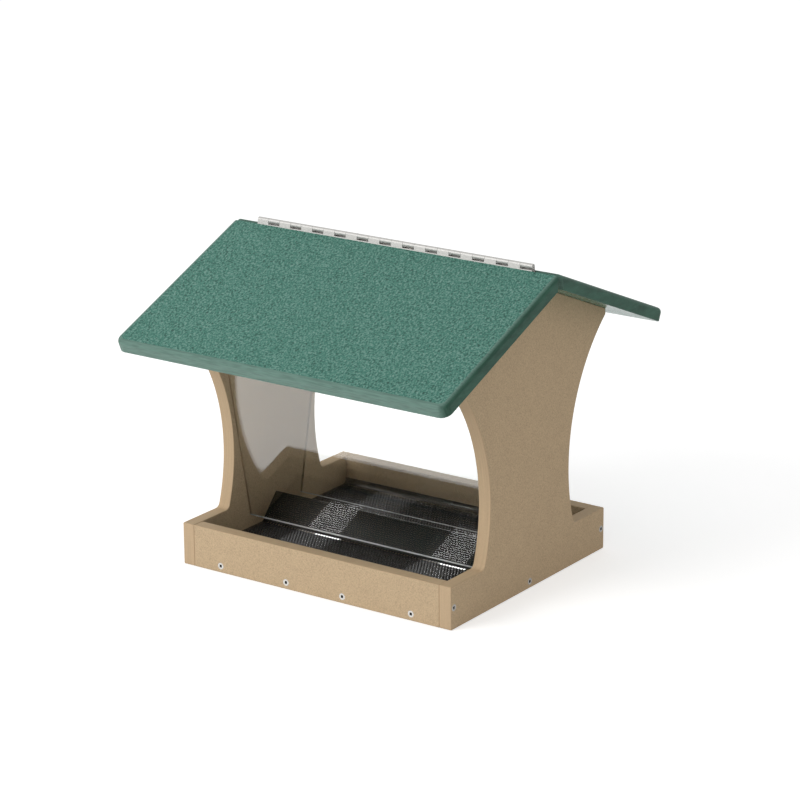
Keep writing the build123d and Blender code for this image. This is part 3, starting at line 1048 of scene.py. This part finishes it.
def noise(tree, scale, detail=2.0, stretch=(1, 1, 1), rough=0.5):
    """A noise on the piece's own coordinates, stretched along the axes and turned so that no cells align."""
    coords = add_node(tree, "ShaderNodeTexCoord").outputs["Object"]
    mapping = add_node(tree, "ShaderNodeMapping", Vector=coords, Scale=stretch, Rotation=NOISE_TURN)
    turned = mapping.outputs["Vector"]
    made = add_node(tree, "ShaderNodeTexNoise", Vector=turned, Scale=scale, Detail=detail, Roughness=rough)
    return made.outputs["Fac"]


def ramp(tree, value, colours, places=TWO_STOPS):
    """Colours along a value, each at its place."""
    made = add_node(tree, "ShaderNodeValToRGB", Fac=value)
    elements = made.color_ramp.elements
    while len(elements) < len(colours):
        elements.new(0.5)
    for element, position, shade in zip(elements, places, colours):
        element.position = position
        element.color = (*shade, 1)
    return made.outputs["Color"]


def shades(base, *levels):
    """A colour at several levels of brightness."""
    return [tuple(min(part * level, 1.0) for part in base) for level in levels]


def blend(tree, first, second, kind="MULTIPLY", share=None):
    """Two colours blended, fully or by a share."""
    made = add_node(tree, "ShaderNodeMix", data_type="RGBA", blend_type=kind)
    made.inputs[0].default_value = 1.0
    if share:
        tree.links.new(share, made.inputs[0])
    tree.links.new(first, made.inputs[6])
    tree.links.new(second, made.inputs[7])
    return made.outputs[2]


def spread(tree, value, low, high):
    """A value from 0.3 to 0.7 spread over another range."""
    made = add_node(
        tree, "ShaderNodeMapRange", Value=value, From_Min=0.3, From_Max=0.7, To_Min=low, To_Max=high
    )
    return made.outputs["Result"]


def bump(tree, height, strength, distance, **under):
    """A bump from a height, over another bump if one is given as Normal."""
    made = add_node(tree, "ShaderNodeBump", Height=height, Strength=strength, Distance=distance, **under)
    return made.outputs["Normal"]


def mottled(
    tree, shader, base, scale, levels, detail=2, stretch=(1, 1, 1), places=TWO_STOPS, rough=None, tooth=None,
    **values
):
    """Shade a colour by one noise and, where they are given, spread the roughness and raise a tooth by it.

    The other values are the shader's own inputs.
    """
    pattern = noise(tree, scale, detail, stretch)
    connect(tree, shader, Base_Color=ramp(tree, pattern, shades(base, *levels), places), **values)
    if rough:
        connect(tree, shader, Roughness=spread(tree, pattern, *rough))
    if tooth:
        connect(tree, shader, Normal=bump(tree, pattern, *tooth))


def board_face(tree, shader, base):
    """Moulded face of a plastic board: a salt-and-pepper speckle over faint clouds, and a light tooth."""
    speckle = noise(tree, 780, 3, rough=0.65)
    fleck = ramp(tree, speckle, shades(base, 0.8, 1.0, 1.14), THREE_STOPS)
    cloud = ramp(tree, noise(tree, 60, 3), shades(WHITE, 0.96, 1.0), (0.3, 0.7))
    connect(
        tree, shader, Base_Color=blend(tree, fleck, cloud), Roughness=spread(tree, speckle, 0.55, 0.7),
        Normal=bump(tree, speckle, 0.25, 0.0003), Specular_IOR_Level=0.12,
    )


def sawn_edge(tree, shader, base, across):
    """Sawn edge of a plastic board: faint streaks along the cut, fine across the thickness."""
    streaks = noise(tree, 700, 3, tuple(1.0 if part else 0.03 for part in across), 0.6)
    streak = ramp(tree, streaks, shades(base, 0.93, 1.0, 1.05), THREE_STOPS)
    fleck = ramp(tree, noise(tree, 900, 2), shades(WHITE, 0.95, 1.0), (0.35, 0.6))
    connect(
        tree, shader, Base_Color=blend(tree, streak, fleck), Roughness=spread(tree, streaks, 0.5, 0.65),
        Normal=bump(tree, streaks, 0.2, 0.0002), Specular_IOR_Level=0.12,
    )


def roof_grain(tree, shader, base):
    """Leathery face of the roof boards: rounded grains, with painted shade in the valleys and a painted
    highlight on their tops, and a finer tooth on top.
    """
    grain = noise(tree, 600, 2, (1, 0.8, 0.8), 0.5)
    tooth = noise(tree, 1500, 2)
    # painted shade and highlight: the grain's low places are coloured darker and its high places lighter
    colours = shades(base, 0.35, 0.95) + [tuple(part + 0.1 for part in base)]
    under = bump(tree, grain, 0.6, 0.0008)
    connect(
        tree, shader, Base_Color=ramp(tree, grain, colours, (0.3, 0.48, 0.68)),
        Roughness=spread(tree, tooth, 0.45, 0.6), Normal=bump(tree, tooth, 0.15, 0.0003, Normal=under),
        Specular_IOR_Level=0.3,
    )


def facing_ends(tree):
    """0 where a piece faces across X, rising to 1 where it faces along X."""
    normal = add_node(tree, "ShaderNodeTexCoord").outputs["Normal"]
    along = add_node(tree, "ShaderNodeSeparateXYZ", Vector=normal).outputs["X"]
    size = add_node(tree, "ShaderNodeMath", operation="ABSOLUTE", Value=along).outputs[0]
    return add_node(tree, "ShaderNodeMapRange", Value=size, From_Min=0.2, From_Max=0.75).outputs["Result"]


def roof_edge(tree, shader, base, end):
    """Edges of the roof boards: smooth and a little chalky at the eave, streaked at the ends, which painted
    shade makes darker.
    """
    lines = noise(tree, 700, 2, (0.1, 1, 1))
    streaks = noise(tree, 600, 3, (1, 0.06, 0.2), 0.6)
    smooth = ramp(tree, lines, shades(base, 0.84, 1.0, 1.13), (0.35, 0.5, 0.65))
    # the ends' streaks are the boards' own, and their darker tone is painted shade
    sawn = ramp(tree, streaks, shades(end, 0.75, 1.0, 1.25), THREE_STOPS)
    connect(
        tree, shader, Base_Color=blend(tree, smooth, sawn, "MIX", facing_ends(tree)),
        Roughness=spread(tree, lines, 0.38, 0.52), Normal=bump(tree, streaks, 0.1, 0.0002),
        Specular_IOR_Level=0.12,
    )


def roof_under(tree, shader, base):
    """Smooth underside of the roof boards: faint clouds and an even sheen."""
    mottled(tree, shader, base, 40, (0.95, 1.06), detail=3, rough=(0.22, 0.3))


def black_coat(tree, shader, base):
    """Black powder coat: a fine pebble and a soft sheen."""
    mottled(tree, shader, base, 2600, (0.8, 1.4), rough=(0.18, 0.3), tooth=(0.15, 0.0001))


def clear_face(tree, shader, base):
    """Polished face of the clear sheet, with faint smears in its gloss."""
    mottled(
        tree, shader, base, 18, (0.99, 1.0), detail=4, stretch=(1, 1, 0.4), places=(0.4, 0.6),
        rough=(0.0, 0.03), IOR=1.49, Transmission_Weight=1.0,
    )


def clear_edge(tree, shader, base):
    """Sawn edge of the clear sheet: half polished, with fine saw lines."""
    mottled(
        tree, shader, base, 1500, (0.8, 0.95), stretch=(0.05, 1, 1), rough=(0.12, 0.3),
        IOR=1.49, Transmission_Weight=0.5,
    )


def clear_side_shade(tree, shader, base):
    """Side edge of the clear sheet down in its kerf, darkened as painted shade."""
    mottled(tree, shader, base, 1200, (0.8, 1.2), Roughness=0.8)


def satin_steel(tree, shader, base):
    """Dull plated steel with fine lines along the hinge."""
    mottled(
        tree, shader, base, 3000, (0.92, 1.0), stretch=(0.02, 1, 1), rough=(0.42, 0.55), tooth=(0.05, 0.0001),
        Metallic=0.45,
    )


def turned_steel(tree, shader, base):
    """Bright steel of the screws, slightly mottled."""
    mottled(tree, shader, base, 1800, (0.8, 1.1), rough=(0.32, 0.48), Metallic=1.0)


def socket_shade_steel(tree, shader, base):
    """Steel darkened as painted shade, deep in the sockets."""
    mottled(tree, shader, base, 2400, (0.6, 1.2), Roughness=0.7, Metallic=0.6)


# Stage


def greater(tree, first, second):
    """The greater of two values."""
    made = add_node(tree, "ShaderNodeMath", operation="MAXIMUM", Value=first)
    tree.links.new(second, made.inputs[1])
    return made.outputs[0]


def seen_directly(tree):
    """1 for the camera's rays and for rays off a gloss or through the clear sheets, 0 for others."""
    path = add_node(tree, "ShaderNodeLightPath").outputs
    either = greater(tree, path["Is Camera Ray"], path["Is Glossy Ray"])
    return greater(tree, either, path["Is Transmission Ray"])


def pale_floor(tree, shader, base):
    """Matt floor that lights the object as it is painted, and looks white itself apart from the shadow."""
    mottled(
        tree, shader, base, 3, (0.98, 1.0), detail=3, Roughness=0.9, Specular_IOR_Level=0.0,
        Emission_Color=FLOOR_GLOW, Emission_Strength=seen_directly(tree),
    )


def flag_cloth(tree, shader, base):
    """Dull black cloth with a faint weave."""
    mottled(
        tree, shader, base, 900, (0.5, 1.0), detail=1, stretch=(1, 1, 0.1), places=(0.4, 0.6),
        Roughness=1.0, Specular_IOR_Level=0.0,
    )


def set_world(scene, sky):
    """Even pale light all round, white where it is seen."""
    world = bpy.data.worlds.new("studio")
    world.use_nodes = True
    tree = world.node_tree
    light = connect(tree, tree.nodes["Background"], Color=(*WHITE, 1), Strength=sky)
    white = add_node(tree, "ShaderNodeBackground", Color=(*WHITE, 1), Strength=1.0)
    either = add_node(tree, "ShaderNodeMixShader", Fac=seen_directly(tree))
    tree.links.new(light.outputs[0], either.inputs[1])
    tree.links.new(white.outputs[0], either.inputs[2])
    connect(tree, tree.nodes["World Output"], Surface=either.outputs[0])
    scene.world = world


def add_lamp(name, power, size, location, target):
    """A soft lamp, of a size along and a size across, that looks at a point and isn't seen itself."""
    lamp = bpy.data.lights.new(name, "AREA")
    lamp.energy = power
    lamp.shape = "RECTANGLE"
    lamp.size, lamp.size_y = size
    holder = bpy.data.objects.new(name, lamp)
    holder.location = location
    holder.rotation_euler = (Vector(target) - Vector(location)).to_track_quat("-Z", "Y").to_euler()
    holder.visible_camera = False
    bpy.context.scene.collection.objects.link(holder)
    return holder


def light_table(name, brightness, low, high):
    """A lit part of the table top between two corners, which reflections meet but which lights nothing."""
    size = np.subtract(high, low)
    x, y = np.add(low, high) / 2
    lit = add_lamp(name, brightness * pi * size[0] * size[1], size, (x, y, TABLE_RISE), (x, y, 1.0))
    lit.visible_diffuse = False
    return lit


def add_screen(name, points, finish):
    """Four points in a row as one flat face."""
    return add_object(name, build_mesh(name, points, [np.arange(4)[None]]), [finish])


def add_flag(shade):
    """A black screen at the front left against glare, met only by reflections and through the windows."""
    points = np.concatenate([FLAG_FEET, FLAG_FEET[::-1] + (0, 0, FLAG_HEIGHT)])
    flag = add_screen("flag", points, material("flag_cloth", flag_cloth, shade))
    flag.visible_camera = False
    flag.visible_diffuse = False
    flag.visible_shadow = False


def add_camera(scene):
    """A long lens at a turn round the object and a rise above the floor, rolled a little about its axis."""
    turn, rise, roll = CAMERA_TURN, CAMERA_RISE, CAMERA_ROLL
    back = Vector((sin(turn) * cos(rise), -cos(turn) * cos(rise), sin(rise)))
    level = Vector((cos(turn), sin(turn), 0))
    over = back.cross(level)
    right = level * cos(roll) + over * sin(roll)
    up = over * cos(roll) - level * sin(roll)
    data = bpy.data.cameras.new("camera")
    data.lens = CAMERA_LENS
    data.sensor_width = CAMERA_SENSOR
    camera = bpy.data.objects.new("camera", data)
    matrix = Matrix((right, up, back)).transposed().to_4x4()
    matrix.translation = CAMERA_TARGET + back * CAMERA_DISTANCE
    camera.matrix_world = matrix
    scene.collection.objects.link(camera)
    scene.camera = camera


class FEEDER_OT_stage(bpy.types.Operator):
    """Build the floor, the soft studio light and the camera"""

    bl_idname = "feeder.stage"
    bl_label = "Stage"

    def execute(self, context):
        scene, finish = context.scene, context.scene.feeder_finish
        corners = rectangle((-FLOOR_REACH, -FLOOR_REACH), (FLOOR_REACH, FLOOR_REACH))
        points = np.concatenate([corners, np.full((4, 1), -FLOOR_DROP)], axis=1)
        floor = add_screen("floor", points, material("pale_floor", pale_floor, finish.floor))
        set_world(scene, finish.sky)
        add_lamp("key", finish.key, KEY_SIZE, KEY_PLACE, KEY_TARGET)
        light_table("front_table", finish.table, *FRONT_TABLE)
        under = light_table("table_under_tray", UNDER_TRAY_SHARE * finish.table, *UNDER_TRAY)
        under.visible_camera = True
        add_flag(finish.flag)
        add_camera(scene)
        scene.view_settings.view_transform = "Standard"
        return {"FINISHED"}


class FEEDER_PT_panel(bpy.types.Panel):
    """Lists the steps that build the feeder, its sizes and its finishes"""

    bl_idname = "FEEDER_PT_panel"
    bl_label = "Bird Feeder"
    bl_space_type = "VIEW_3D"
    bl_region_type = "UI"
    bl_category = "Bird Feeder"

    def draw(self, context):
        column = self.layout.column(align=True)
        for step in STEPS:
            column.operator(step.bl_idname)
        for group in (context.scene.feeder_sizes, context.scene.feeder_finish):
            column.separator()
            for key in group.bl_rna.properties.keys():
                if key not in ("rna_type", "name"):
                    column.prop(group, key)


STEPS = (
    FEEDER_OT_side_panels, FEEDER_OT_tray_rails, FEEDER_OT_floor_slats, FEEDER_OT_seed_tray,
    FEEDER_OT_windows, FEEDER_OT_roof_panels, FEEDER_OT_hinge, FEEDER_OT_board_screws,
    FEEDER_OT_hinge_screws, FEEDER_OT_stage,
)
CLASSES = (FeederSizes, FeederFinish) + STEPS + (FEEDER_PT_panel,)


def register():
    for each in CLASSES:
        bpy.utils.register_class(each)
    bpy.types.Scene.feeder_sizes = PointerProperty(type=FeederSizes)
    bpy.types.Scene.feeder_finish = PointerProperty(type=FeederFinish)


def unregister():
    del bpy.types.Scene.feeder_finish
    del bpy.types.Scene.feeder_sizes
    for each in reversed(CLASSES):
        bpy.utils.unregister_class(each)


def main():
    """Build every piece and the stage."""
    register()
    bpy.ops.feeder.side_panels()
    bpy.ops.feeder.tray_rails()
    bpy.ops.feeder.floor_slats()
    bpy.ops.feeder.seed_tray()
    bpy.ops.feeder.windows()
    bpy.ops.feeder.roof_panels()
    bpy.ops.feeder.hinge()
    bpy.ops.feeder.board_screws()
    bpy.ops.feeder.hinge_screws()
    bpy.ops.feeder.stage()


if __name__ == "__main__":
    main()
